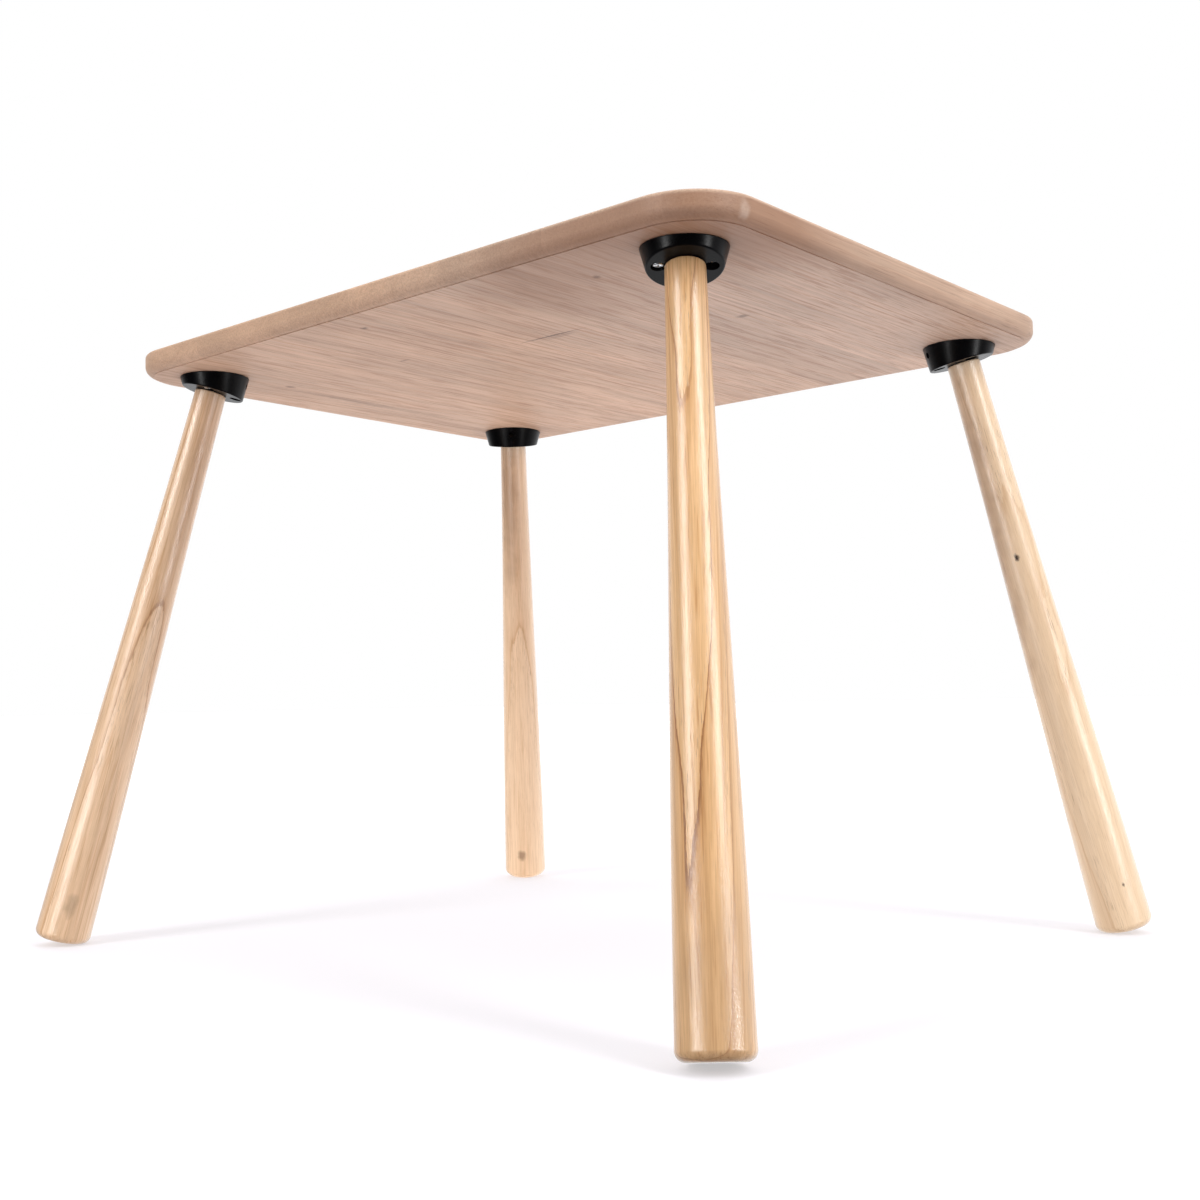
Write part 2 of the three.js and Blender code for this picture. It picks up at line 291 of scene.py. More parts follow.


# %% [markdown]
# ## The top's wood
# The top is glued from boards that run the short way. Each board has its own ring centre and tone. The
# wood is pinkish brown with a fine, dry, straight grain, so it is matt, and its pores are long and
# shallow. Marks are placed on the underside. Warm brown patches, which stop below the top face, are
# mostly painted shade. A pale scuff sits on the near right rounded corner, and a painted sheen on the
# far right one.

# %% Top wood
BOARD_WIDTH = 0.092
BOARD_START = 0.009
EDGE_FROM = 0.0003
# How far below the top face the warm brown patches, mostly painted shade, fade out.
STAIN_AND_SHADE_FADE = 0.0035
TOP_PALE = (0.66, 0.435, 0.30)
TOP_WARM = (0.54, 0.325, 0.21)
TOP_LATE = (0.38, 0.20, 0.12)
GREY_SIDE = (0.93, 0.99, 1.07)
EDGE_TINT = (0.93, 0.91, 0.87, 1.0)
top_marks = (
    ((0.044, -0.078), (0.037, 0.0016), 0.75),
    ((0.052, -0.074), (0.020, 0.0050), 0.22),
    ((-0.089, -0.104), (0.008, 0.0012), 0.6),
    ((-0.035, -0.189), (0.004, 0.0030), 0.6),
    ((0.179, -0.022), (0.006, 0.0045), 0.5),
    ((0.167, -0.166), (0.004, 0.0035), 0.6),
    ((-0.229, -0.110), (0.004, 0.0060), 0.5),
    ((-0.237, -0.020), (0.007, 0.1500), 0.22),
)
# Pale blots on the rounded corners: a scuff on the near right corner, and a painted sheen on the far right
# corner.
scuff_and_sheen_marks = (
    ((0.2990, -0.1870, 0.4600), (0.004, 0.005, 0.010), 0.22),
    ((0.2930, 0.2030, 0.4610), (0.008, 0.007, 0.010), 0.35),
)
SCUFF_AND_SHEEN_PALE = (0.84, 0.72, 0.62)
# Warm brown patches under the top. The first, at the near right corner, and the third, along the right end,
# are painted shade; the second darkens a strip along the near half of the underside.
STAIN_AND_SHADE_BROWN = (0.27, 0.115, 0.05)
stains_and_painted_shade = (
    ((0.265, -0.195), (0.19, 0.14), 0.62),
    ((0.010, -0.120), (0.16, 0.05), 0.12),
    ((0.302, -0.020), (0.03, 0.34), 0.18),
)


def top_wood():
    material, tree, shader = start_material("top_wood")
    local = piece_place(tree, Matrix.Identity(4))
    place = piece_place(tree, Matrix.Rotation(math.pi / 2, 4, "X"))
    parts = add(tree, "SeparateXYZ", {0: place}).outputs
    boards = calc(tree, "DIVIDE", calc(tree, "ADD", parts["X"], BOARD_START), BOARD_WIDTH)
    number = calc(tree, "FLOOR", boards)
    draw = add(tree, "TexWhiteNoise", {"W": number}, noise_dimensions="1D").outputs
    shift = vector_calc(tree, "MULTIPLY", draw["Color"], (0.16, 0.04, 3.0))
    board_middle = calc(tree, "MULTIPLY", number, -BOARD_WIDTH)
    centred = vector_calc(tree, "ADD", place, add(tree, "CombineXYZ", {0: board_middle}).outputs[0])
    board_place = vector_calc(tree, "ADD", centred, shift)
    phase, ring = wood_figure(tree, board_place, (0.05, -UNDERSIDE - 0.05), 0.0050, 0.020)
    late = ramp(tree, phase, ((0.0, 0.3), (0.15, 0.05), (0.55, 0.25), (0.88, 0.7), (1.0, 0.35)))
    late = calc(tree, "MULTIPLY", late, remap(tree, ring, 0.0, 1.0, 0.15, 0.65))
    height_on_panel = add(tree, "SeparateXYZ", {0: local}).outputs["Z"]
    band = remap(tree, height_on_panel, UNDERSIDE + EDGE_FROM, UNDERSIDE + 2 * EDGE_FROM, 0.0, 1.0)
    rim = remap(tree, height_on_panel, TOP_FACE - 2 * EDGE_FROM, TOP_FACE, 1.0, 0.0)
    band = calc(tree, "MULTIPLY", band, rim)
    late = calc(tree, "MULTIPLY", late, remap(tree, band, 0.0, 1.0, 1.0, 0.3))
    colour = ramp(tree, late, ((0.0, TOP_PALE), (0.5, TOP_WARM), (1.0, TOP_LATE)))
    tone = remap(tree, draw["Value"], 0.0, 1.0, 0.95, 1.04)
    colour = blend_colour(tree, 1.0, colour, tone, "MULTIPLY")
    greyer = remap(tree, parts["X"], 0.0, 0.16, 0.0, 1.0)
    tint = blend_colour(tree, greyer, (1.0, 1.0, 1.0, 1.0), (*GREY_SIDE, 1.0))
    colour = blend_colour(tree, 1.0, colour, tint, "MULTIPLY")
    edge_tint = blend_colour(tree, band, (1.0, 1.0, 1.0, 1.0), EDGE_TINT)
    colour = blend_colour(tree, 1.0, colour, edge_tint, "MULTIPLY")
    streaks = fibres(tree, board_place, 800.0, 8.0)
    colour = blend_colour(tree, 1.0, colour, ramp(tree, streaks, ((0.28, 0.8), (0.72, 1.1))), "MULTIPLY")
    flecks = fibres(tree, board_place, 520.0, 24.0, 3.0)
    flecks = ramp(tree, flecks, ((0.52, 1.0), (0.60, (0.74, 0.62, 0.54))))
    colour = blend_colour(tree, remap(tree, band, 0.0, 1.0, 0.7, 0.2), colour, flecks, "MULTIPLY")
    cloud = noise(tree, vector_calc(tree, "MULTIPLY", board_place, (1.0, 1.0, 0.3)), 26.0, 4.0)["Fac"]
    colour = blend_colour(tree, 1.0, colour, ramp(tree, cloud, ((0.3, 0.88), (0.7, 1.09))), "MULTIPLY")
    pores = ramp(tree, fibres(tree, board_place, 1500.0, 34.0, 1.0), ((0.30, 1.0), (0.38, 0.0)))
    colour = blend_colour(tree, calc(tree, "MULTIPLY", pores, 0.4), colour, (0.24, 0.145, 0.10, 1.0))
    for (x, y), (half_x, half_y), depth in top_marks:
        colour = blot(tree, colour, local, (x, y, UNDERSIDE), (half_x, half_y, 0.004), depth)
    # Warm brown patches, mostly painted shade, that fade out below the top face.
    below_top = remap(tree, height_on_panel, TOP_FACE - STAIN_AND_SHADE_FADE, TOP_FACE - 0.001, 1.0, 0.0)
    for (x, y), (half_x, half_y), depth in stains_and_painted_shade:
        share = calc(tree, "MULTIPLY", below_top, depth)
        colour = blot(tree, colour, local, (x, y, UNDERSIDE), (half_x, half_y, 0.1), share, STAIN_AND_SHADE_BROWN)
    # Pale blots: a scuff and a painted sheen.
    for spot, sizes, depth in scuff_and_sheen_marks:
        colour = blot(tree, colour, local, spot, sizes, depth, SCUFF_AND_SHEEN_PALE)
    rough = remap(tree, streaks, 0.2, 0.8, 0.46, 0.6)
    height = calc(tree, "MULTIPLY_ADD", pores, -0.9, calc(tree, "MULTIPLY", streaks, 0.6))
    bump = add(tree, "Bump", {"Height": height, "Strength": 0.4, "Distance": 0.00025}).outputs[0]
    fill(tree, shader, {"Base Color": colour, "Roughness": rough, "Normal": bump})
    fill(tree, shader, {"Specular IOR Level": 0.4})
    return material


top_finish = top_wood()
print("top wood has", len(top_finish.node_tree.nodes), "nodes")

# %% [markdown]
# ## Plastic and metals
# The plates are moulded black plastic with a fine mould texture, a little duller where it has been rubbed
# and paler along worn edges. Pointiness finds the edges. The metals are zinc and brass with fine turning
# marks.

# %% Black plastic


def black_plastic():
    material, tree, shader = start_material("black_plastic")
    place = piece_place(tree, Matrix.Identity(4))
    grain = noise(tree, place, 2600.0, 2.0)["Fac"]
    patches = noise(tree, place, 90.0, 3.0)["Fac"]
    edge = ramp(tree, add(tree, "NewGeometry").outputs["Pointiness"], ((0.56, 0.0), (0.66, 1.0)))
    worn = calc(tree, "MULTIPLY", edge, remap(tree, patches, 0.35, 0.65, 0.2, 1.0))
    colour = blend_colour(tree, patches, (0.0012, 0.0012, 0.0016, 1.0), (0.0030, 0.0030, 0.0038, 1.0))
    colour = blend_colour(tree, calc(tree, "MULTIPLY", worn, 0.5), colour, (0.02, 0.02, 0.023, 1.0))
    rough = calc(tree, "MULTIPLY_ADD", patches, 0.12, remap(tree, grain, 0.3, 0.7, 0.2, 0.28))
    bump = add(tree, "Bump", {"Height": grain, "Strength": 0.12, "Distance": 0.0001}).outputs[0]
    fill(tree, shader, {"Base Color": colour, "Roughness": rough, "Normal": bump, "IOR": 1.24})
    return material


plastic_finish = black_plastic()
print("black plastic has", len(plastic_finish.node_tree.nodes), "nodes")

# %% Turned metals


def turned_metal(name, bright, dull, low_rough, high_rough):
    material, tree, shader = start_material(name)
    place = piece_place(tree, Matrix.Identity(4))
    blotch = noise(tree, place, 420.0, 3.0)["Fac"]
    marks = noise(tree, vector_calc(tree, "MULTIPLY", place, (1.0, 1.0, 12.0)), 900.0)["Fac"]
    colour = blend_colour(tree, remap(tree, blotch, 0.35, 0.7, 0.0, 1.0), (*bright, 1.0), (*dull, 1.0))
    edge = ramp(tree, add(tree, "NewGeometry").outputs["Pointiness"], ((0.5, 0.0), (0.6, 1.0)))
    colour = blend_colour(tree, calc(tree, "MULTIPLY", edge, 0.35), colour, (0.95, 0.95, 0.95, 1.0))
    rough = remap(tree, marks, 0.3, 0.7, low_rough, high_rough)
    bump = add(tree, "Bump", {"Height": marks, "Strength": 0.15, "Distance": 0.0001}).outputs[0]
    fill(tree, shader, {"Base Color": colour, "Roughness": rough, "Normal": bump, "Metallic": 1.0})
    return material


zinc_finish = turned_metal("bright_zinc", (0.92, 0.93, 0.95), (0.74, 0.76, 0.79), 0.3, 0.45)
steel_finish = turned_metal("bolt_steel", (0.62, 0.64, 0.66), (0.42, 0.43, 0.45), 0.26, 0.42)
brass_finish = turned_metal("insert_brass", (0.80, 0.60, 0.28), (0.55, 0.38, 0.16), 0.22, 0.38)
print("metals ready")

# %% [markdown]
# ## Finishing a mesh
# Every piece ends the same way. Its mesh is moved into the row frame, its faces are shaded smooth with
# sharp edges kept at real corners, and weighted normals keep the large flat faces flat beside rounded
# edges. Then the piece is told which body it rides on and which finish it takes, and the CAD node it
# replaces is hidden.

# %% Finish helper


def finish_piece(name, shape, matrix, material, body, node, sharp=35.0):
    bmesh.ops.transform(shape, matrix=matrix, verts=shape.verts[:])
    mesh = bpy.data.meshes.new(name)
    shape.to_mesh(mesh)
    shape.free()
    for face in mesh.polygons:
        face.use_smooth = True
    mesh.set_sharp_from_angle(angle=math.radians(sharp))
    mesh.materials.append(material)
    piece = bpy.data.objects.new(name, mesh)
    bpy.context.scene.collection.objects.link(piece)
    normals = piece.modifiers.new("weighted_normals", "WEIGHTED_NORMAL")
    normals.keep_sharp = True
    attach(piece, body)
    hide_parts(node)
    return piece


# A turned shape: the profile is a list of (radius, height), spun round Z. Points on the axis become poles.
def turn_profile(profile, sides, closed=False):
    shape = bmesh.new()
    points = [shape.verts.new((radius, 0.0, height)) for radius, height in profile]
    lines = [shape.edges.new(pair) for pair in zip(points, points[1:])]
    if closed:
        lines.append(shape.edges.new((points[-1], points[0])))
    bmesh.ops.spin(shape, geom=points + lines, cent=(0, 0, 0), axis=(0, 0, 1), angle=math.tau, steps=sides,
                   use_merge=True)
    bmesh.ops.remove_doubles(shape, verts=shape.verts[:], dist=1e-7)
    bmesh.ops.recalc_face_normals(shape, faces=shape.faces[:])
    return shape


# The points of a rounded corner in a profile, from one angle to another about a centre.
def arc(centre, radius, start, end, steps):
    angles = [math.radians(start + (end - start) * step / steps) for step in range(steps + 1)]
    return [(centre[0] + radius * math.cos(angle), centre[1] + radius * math.sin(angle)) for angle in angles]


# Cuts one shape out of another by Blender's exact boolean.
def cut_out(shape, cutter):
    meshes = []
    for content in (shape, cutter):
        mesh = bpy.data.meshes.new("work")
        content.to_mesh(mesh)
        meshes.append(bpy.data.objects.new("work", mesh))
        bpy.context.scene.collection.objects.link(meshes[-1])
    body, tool = meshes
    boolean = body.modifiers.new("cut", "BOOLEAN")
    boolean.object = tool
    boolean.operation = "DIFFERENCE"
    boolean.solver = "EXACT"
    bpy.context.view_layer.update()
    result = bpy.data.meshes.new_from_object(body.evaluated_get(bpy.context.evaluated_depsgraph_get()))
    shape.clear()
    shape.from_mesh(result)
    bpy.data.meshes.remove(result)
    for thing in (body, tool):
        mesh = thing.data
        bpy.data.objects.remove(thing)
        bpy.data.meshes.remove(mesh)


# Copies one shape, moved by a matrix, into another.
def merge_in(target, part, matrix):
    bmesh.ops.transform(part, matrix=matrix, verts=part.verts[:])
    mesh = bpy.data.meshes.new("work")
    part.to_mesh(mesh)
    part.free()
    target.from_mesh(mesh)
    bpy.data.meshes.remove(mesh)


print("modelling helpers ready")

# %% [markdown]
# ## Screw places
# Three upright screws hold each plate: one on its thick side and one on each flank. Their heads sit in
# round recesses. The one towards the long side of the top is driven nearly flush with the slanted face,
# and the one towards the short side is driven deep. The same numbers place the screws, their recesses and
# the pilot holes.

# %% Screw places
PLATE_RADIUS = 27.5 * MM
PLATE_DRAFT = 0.28
FACE_DISTANCE = 12.8 * MM
SCREW_TURNS = {"inner": 0.0, "left": 100.0, "right": -100.0}
SCREW_CIRCLE_RADIUS = 16.4 * MM
INNER_SINK = 1.8 * MM
LONG_SIDE_SINK = 0.5 * MM
SHORT_SIDE_SINK = 2.8 * MM
SCREW_HEAD_HEIGHT = 2.4 * MM
SCREW_GRIP = 12.0 * MM
GAP = 0.3 * MM


def face_height(out):
    return -(FACE_DISTANCE - out * math.sin(SPLAY)) / math.cos(SPLAY)


def screw_sink(corner, turn):
    if turn == 0.0:
        return INNER_SINK
    axis = joints[f"leg_turn_{corner}"]["axis"]
    return LONG_SIDE_SINK if turn * axis[0] * axis[1] < 0.0 else SHORT_SIDE_SINK


def screw_place(corner, turn):
    angle = math.pi + math.radians(turn)
    x = SCREW_CIRCLE_RADIUS * math.cos(angle)
    return x, SCREW_CIRCLE_RADIUS * math.sin(angle), face_height(x) + screw_sink(corner, turn)


for name, turn in SCREW_TURNS.items():
    print(name, "crown at", round(screw_place("front_right", turn)[2] / MM, 2), "mm")

# %% [markdown]
# ## The top
# A cube is stretched to the panel's size. Bevelling its four upright edges gives the round corners, and
# bevelling the upper rim gives the small roundover. The lower roundover is larger and stops at a tiny
# step, as a router's guide leaves it, so the underside is pushed down by half a millimetre after that
# bevel.

# %% Top panel
CORNER_RADIUS = 47.0 * MM
LOWER_ROUND = 7.0 * MM
UPPER_ROUND = 3.0 * MM
LIP_HEIGHT = 0.5 * MM
PILOT_RADIUS = 2.2 * MM


def rim_edges(shape, height):
    return [edge for edge in shape.edges if all(abs(vert.co.z - height) < 1e-6 for vert in edge.verts)]


def bevel_edges(shape, edges, offset, segments):
    return bmesh.ops.bevel(shape, geom=edges, offset=offset, offset_type="OFFSET", affect="EDGES",
                           segments=segments, profile=0.5, material=-1, clamp_overlap=False)


def top_panel():
    low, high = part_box("tabletop")
    low.z = UNDERSIDE + LIP_HEIGHT
    shape = bmesh.new()
    middle = Matrix.Translation((low + high) / 2)
    bmesh.ops.create_cube(shape, size=1.0, matrix=middle @ Matrix.Diagonal((*(high - low), 1.0)))
    upright = [edge for edge in shape.edges if abs(edge.verts[0].co.z - edge.verts[1].co.z) > UPPER_ROUND]
    bevel_edges(shape, upright, CORNER_RADIUS, 24)
    bevel_edges(shape, rim_edges(shape, high.z), UPPER_ROUND, 6)
    bevel_edges(shape, rim_edges(shape, low.z), LOWER_ROUND, 10)
    under = min(shape.faces, key=lambda face: face.calc_center_median().z)
    lip = bmesh.ops.extrude_face_region(shape, geom=[under])
    dropped = [item for item in lip["geom"] if isinstance(item, bmesh.types.BMVert)]
    bmesh.ops.delete(shape, geom=[under], context="FACES_ONLY")
    bmesh.ops.translate(shape, verts=dropped, vec=(0.0, 0.0, -LIP_HEIGHT))
    return shape


def pilot_holes():
    holes = bmesh.new()
    for corner in CORNERS:
        for turn in SCREW_TURNS.values():
            x, y, _ = screw_place(corner, turn)
            depth = SCREW_GRIP + GAP + MM
            place = Matrix.Translation((x, y, depth / 2 - MM))
            bmesh.ops.create_cone(holes, cap_ends=True, segments=24, radius1=PILOT_RADIUS,
                                  radius2=PILOT_RADIUS, depth=depth, matrix=corner_frame(corner) @ place)
    return holes


panel = top_panel()
cut_out(panel, pilot_holes())
wooden_top = finish_piece("wooden_top", panel, Matrix.Identity(4), top_finish, "table", "tabletop")
print("top has", len(wooden_top.data.polygons), "faces")

# %% [markdown]
# ## The leg plates
# A plate is a cone with draft, as a moulding needs, cut off on a slant at right angles to its leg. A cone
# is made, a plane cuts it, the hole is filled, and the rims are bevelled. A boolean then cuts the bore
# for the insert, the stepped screw holes and the small blind window in the thick side of the wall.

# %% Leg plates
RIM_ROUND = 0.9 * MM
INSERT_BORE_RADIUS = 5.9 * MM
BORE_START = 2.0 * MM
SHANK_HOLE_RADIUS = 2.4 * MM
COUNTERBORE_RADIUS = 4.6 * MM
WINDOW_RADIUS = 2.4 * MM
WINDOW_DEPTH = 4.0 * MM
WINDOW_DROP = 7.0 * MM
BLANK_DEPTH = 24.0 * MM
leg_tilt = Matrix.Rotation(math.pi - SPLAY, 4, "Y")


def plate_blank():
    shape = bmesh.new()
    depth = BLANK_DEPTH - GAP
    lower_radius = PLATE_RADIUS - PLATE_DRAFT * BLANK_DEPTH
    bmesh.ops.create_cone(shape, cap_ends=True, segments=128, radius1=lower_radius, radius2=PLATE_RADIUS,
                          depth=depth, matrix=Matrix.Translation((0.0, 0.0, -GAP - depth / 2)))
    down = (leg_tilt @ Vector((0.0, 0.0, 1.0))).normalized()
    everything = shape.verts[:] + shape.edges[:] + shape.faces[:]
    cut = bmesh.ops.bisect_plane(shape, geom=everything, plane_co=down * FACE_DISTANCE, plane_no=down,
                                 clear_outer=True)
    rim = [item for item in cut["geom_cut"] if isinstance(item, bmesh.types.BMEdge)]
    bmesh.ops.holes_fill(shape, edges=rim, sides=0)
    bevel_edges(shape, rim, RIM_ROUND, 5)
    bevel_edges(shape, rim_edges(shape, -GAP), 0.4 * MM, 2)
    return shape


def plate_holes(corner):
    holes = bmesh.new()
    for turn in SCREW_TURNS.values():
        x, y, crown = screw_place(corner, turn)
        seat = crown + SCREW_HEAD_HEIGHT + GAP
        steps = [(0.0, MM), (SHANK_HOLE_RADIUS, MM), (SHANK_HOLE_RADIUS, seat), (COUNTERBORE_RADIUS, seat),
                 (COUNTERBORE_RADIUS, -BLANK_DEPTH), (0.0, -BLANK_DEPTH)]
        merge_in(holes, turn_profile(steps, 48), Matrix.Translation((x, y, 0.0)))
    bore = [(0.0, BORE_START), (INSERT_BORE_RADIUS, BORE_START), (INSERT_BORE_RADIUS, BLANK_DEPTH),
            (0.0, BLANK_DEPTH)]
    merge_in(holes, turn_profile(bore, 64), leg_tilt)
    wall = PLATE_RADIUS - PLATE_DRAFT * WINDOW_DROP
    window = [(0.0, wall - WINDOW_DEPTH), (WINDOW_RADIUS, wall - WINDOW_DEPTH),
              (WINDOW_RADIUS, PLATE_RADIUS + MM), (0.0, PLATE_RADIUS + MM)]
    inward = Matrix.Translation((0.0, 0.0, -WINDOW_DROP)) @ Matrix.Rotation(-math.pi / 2, 4, "Y")
    merge_in(holes, turn_profile(window, 32), inward)
    return holes


for corner in CORNERS:
    plate = plate_blank()
    cut_out(plate, plate_holes(corner))
    finish_piece(f"wedge_plate_{corner}", plate, corner_frame(corner), plastic_finish, "table",
                 f"leg_plate_{corner}", sharp=28.0)

# %% [markdown]
# ## Plate screws
# A screw is turned in one go: a recess, a domed head, a shank with a coarse thread, and a point. The
# thread is made by moving the turned rings in and out by how far they are round and along, which winds a
# true helix on a closed shape. The recess is a cross: its rings are pulled in between four arms.

# %% Threads and recesses


def wind_thread(shape, start, end, pitch, depth, sharpness):
    """Presses a helical groove into a turned shape between two heights."""
    for vert in shape.verts:
        radius = math.hypot(vert.co.x, vert.co.y)
        fade = min(1.0, (vert.co.z - start) / pitch, (end - vert.co.z) / pitch)
        if radius < 1e-6 or fade <= 0.0:
            continue
        turn = math.atan2(vert.co.y, vert.co.x) / math.tau
        phase = (vert.co.z / pitch - turn) % 1.0
        groove = depth * fade * min(1.0, (1.0 - abs(2.0 * phase - 1.0)) * sharpness)
        vert.co.x *= (radius - groove) / radius
        vert.co.y *= (radius - groove) / radius


def straight(start, end, step):
    """Heights from start to end, about one step apart."""
    count = max(1, round(abs(end - start) / step))
    return [start + (end - start) * share / count for share in range(count + 1)]


SCREW_HEAD_RADIUS = 3.5 * MM
SCREW_SHANK_RADIUS = 1.9 * MM
SCREW_TIP = 3.0 * MM
SCREW_PITCH = 1.8 * MM
RECESS_RADIUS = 2.1 * MM
RECESS_DEPTH = 1.6 * MM


def cross_arms(shape, crown):
    """Pulls the recess's rings in between four arms."""
    for vert in shape.verts:
        radius = math.hypot(vert.co.x, vert.co.y)
        if 1e-6 < radius < RECESS_RADIUS + 1e-6 and vert.co.z < crown + RECESS_DEPTH + 1e-6:
            angle = math.atan2(vert.co.y, vert.co.x)
            arm = abs(math.cos(2.0 * angle)) ** 3
            vert.co.x *= 0.42 + 0.58 * arm
            vert.co.y *= 0.42 + 0.58 * arm


def plate_screw(crown):
    shoulder = crown + SCREW_HEAD_HEIGHT
    profile = [(0.0, crown + RECESS_DEPTH), (RECESS_RADIUS * 0.5, crown + RECESS_DEPTH),
               (RECESS_RADIUS * 0.8, crown + 0.5 * RECESS_DEPTH), (RECESS_RADIUS, crown + 0.02 * MM)]
    profile += [(2.3 * MM, crown), (2.9 * MM, crown + 0.06 * MM), (3.25 * MM, crown + 0.25 * MM)]
    profile += [(3.43 * MM, crown + 0.5 * MM), (SCREW_HEAD_RADIUS, crown + 0.85 * MM)]
    profile += [(SCREW_HEAD_RADIUS, shoulder), (SCREW_SHANK_RADIUS, shoulder)]
    shank = straight(shoulder, SCREW_GRIP - SCREW_TIP, 0.25 * MM)[1:]
    profile += [(SCREW_SHANK_RADIUS, height) for height in shank]
    taper = straight(SCREW_GRIP - SCREW_TIP, SCREW_GRIP, 0.3 * MM)[1:-1]
    profile += [(SCREW_SHANK_RADIUS * (SCREW_GRIP - height) / SCREW_TIP, height) for height in taper]
    profile += [(0.0, SCREW_GRIP)]
    shape = turn_profile(profile, 48)
    cross_arms(shape, crown)
    wind_thread(shape, 0.0, SCREW_GRIP - 0.6 * MM, SCREW_PITCH, 0.5 * MM, 1.6)
    return shape


for corner in CORNERS:
    for name, turn in SCREW_TURNS.items():
        x, y, crown = screw_place(corner, turn)
        place = corner_frame(corner) @ Matrix.Translation((x, y, 0.0))
        finish_piece(f"screw_{name}_{corner}", plate_screw(crown), place, zinc_finish, "table",
                     f"plate_screw_{name}_{corner}", sharp=30.0)

# %% [markdown]
# ## Inserts and hanger bolts
# The insert is a brass barrel moulded into the plate. It is a closed ring with chamfered mouths and a
# groove that keys it. The hanger bolt has a fine machine thread at the plate's end and a coarse wood
# thread in the leg. A round bolt turns with its leg, so it rides on the leg's body here.

# %% Inserts
INSERT_START = 2.3 * MM
INSERT_END = FACE_DISTANCE - GAP
INSERT_RADIUS = 5.6 * MM
INSERT_THREAD_RADIUS = 4.2 * MM
INSERT_GROOVE = 0.6 * MM
CHAMFER = 0.4 * MM


def threaded_insert():
    middle = (INSERT_START + INSERT_END) / 2
    groove = INSERT_RADIUS - INSERT_GROOVE
    profile = [(INSERT_THREAD_RADIUS, INSERT_START + CHAMFER),
               (INSERT_THREAD_RADIUS + CHAMFER, INSERT_START),
               (INSERT_RADIUS - CHAMFER, INSERT_START), (INSERT_RADIUS, INSERT_START + CHAMFER),
               (INSERT_RADIUS, middle - MM), (groove, middle - MM), (groove, middle + MM),
               (INSERT_RADIUS, middle + MM), (INSERT_RADIUS, INSERT_END - CHAMFER),
               (INSERT_RADIUS - CHAMFER, INSERT_END), (INSERT_THREAD_RADIUS + CHAMFER, INSERT_END)]
    profile += [(INSERT_THREAD_RADIUS, height)
                for height in straight(INSERT_END - CHAMFER, INSERT_START + CHAMFER, 0.2 * MM)[:-1]]
    return turn_profile(profile, 64, closed=True)


for corner in CORNERS:
    finish_piece(f"insert_{corner}", threaded_insert(), leg_frame(corner), brass_finish, "table",
                 f"threaded_insert_{corner}", sharp=30.0)
print("inserts made")

# %% Hanger bolts
THREAD_PITCH = 1.25 * MM
WOOD_PITCH = 2.8 * MM
BOLT_RADIUS = 3.95 * MM
BOLT_START = 2.8 * MM
BOLT_IN_LEG = 32.0 * MM
LEG_START = FACE_DISTANCE + GAP
BOLT_END = LEG_START + BOLT_IN_LEG
BOLT_PLAIN = 3.0 * MM
BOLT_TIP = 6.0 * MM


def hanger_bolt():
    profile = [(0.0, BOLT_START), (BOLT_RADIUS - MM, BOLT_START)]
    shank = straight(BOLT_START + MM, BOLT_END - BOLT_TIP, 0.16 * MM)
    profile += [(BOLT_RADIUS, height) for height in shank]
    for height in straight(BOLT_END - BOLT_TIP, BOLT_END, 0.3 * MM)[1:-1]:
        profile.append((BOLT_RADIUS * (BOLT_END - height) / BOLT_TIP, height))
    profile.append((0.0, BOLT_END))
    shape = turn_profile(profile, 40)
    wind_thread(shape, BOLT_START, LEG_START, THREAD_PITCH, 0.62 * MM, 1.5)
    wind_thread(shape, LEG_START + BOLT_PLAIN, BOLT_END - MM, WOOD_PITCH, 0.9 * MM, 2.2)
    return shape


for corner in CORNERS:
    finish_piece(f"hanger_bolt_turned_{corner}", hanger_bolt(), leg_frame(corner), steel_finish,
                 f"leg_{corner}", f"hanger_bolt_{corner}", sharp=50.0)

# %% [markdown]
# ## The legs
# A leg is one profile spun round its axis. It swells from the plate to the foot in a soft S, and the foot
# is cut square with a rounded rim. Because the leg leans, it stands on the inner side of that rim, so its
# length follows from the height of the underside and the size of the round.

# %% Legs
LEG_TOP_RADIUS = 12.4 * MM
LEG_FOOT_RADIUS = 21.03 * MM
LEG_EVEN_TAPER = 0.56
LEG_TOP_ROUND = 1.0 * MM
LEG_HOLE_RADIUS = 4.3 * MM
FOOT_ROUND = 6.0 * MM
FOOT_RISE = (LEG_FOOT_RADIUS - FOOT_ROUND) * math.sin(SPLAY) + FOOT_ROUND * (1.0 - math.cos(SPLAY))
LEG_END = (UNDERSIDE - FOOT_RISE) / math.cos(SPLAY)


def leg_radius(along):
    share = along / LEG_END
    curve = (1.0 - math.cos(math.pi * share)) / 2
    taper = LEG_EVEN_TAPER * share + (1.0 - LEG_EVEN_TAPER) * curve
    return LEG_TOP_RADIUS + (LEG_FOOT_RADIUS - LEG_TOP_RADIUS) * taper


def turned_leg():
    hole_end = LEG_START + BOLT_IN_LEG + GAP
    shoulder = LEG_START + LEG_TOP_ROUND
    profile = [(0.0, hole_end), (LEG_HOLE_RADIUS, hole_end), (LEG_HOLE_RADIUS, LEG_START)]
    profile += arc((leg_radius(shoulder) - LEG_TOP_ROUND, shoulder), LEG_TOP_ROUND, -90, 0, 5)
    side = straight(shoulder, LEG_END - FOOT_ROUND, 6.0 * MM)[1:-1]
    profile += [(leg_radius(along), along) for along in side]
    profile += arc((LEG_FOOT_RADIUS - FOOT_ROUND, LEG_END - FOOT_ROUND), FOOT_ROUND, 0, 90, 12)
    profile.append((0.0, LEG_END))
    return turn_profile(profile, 96)


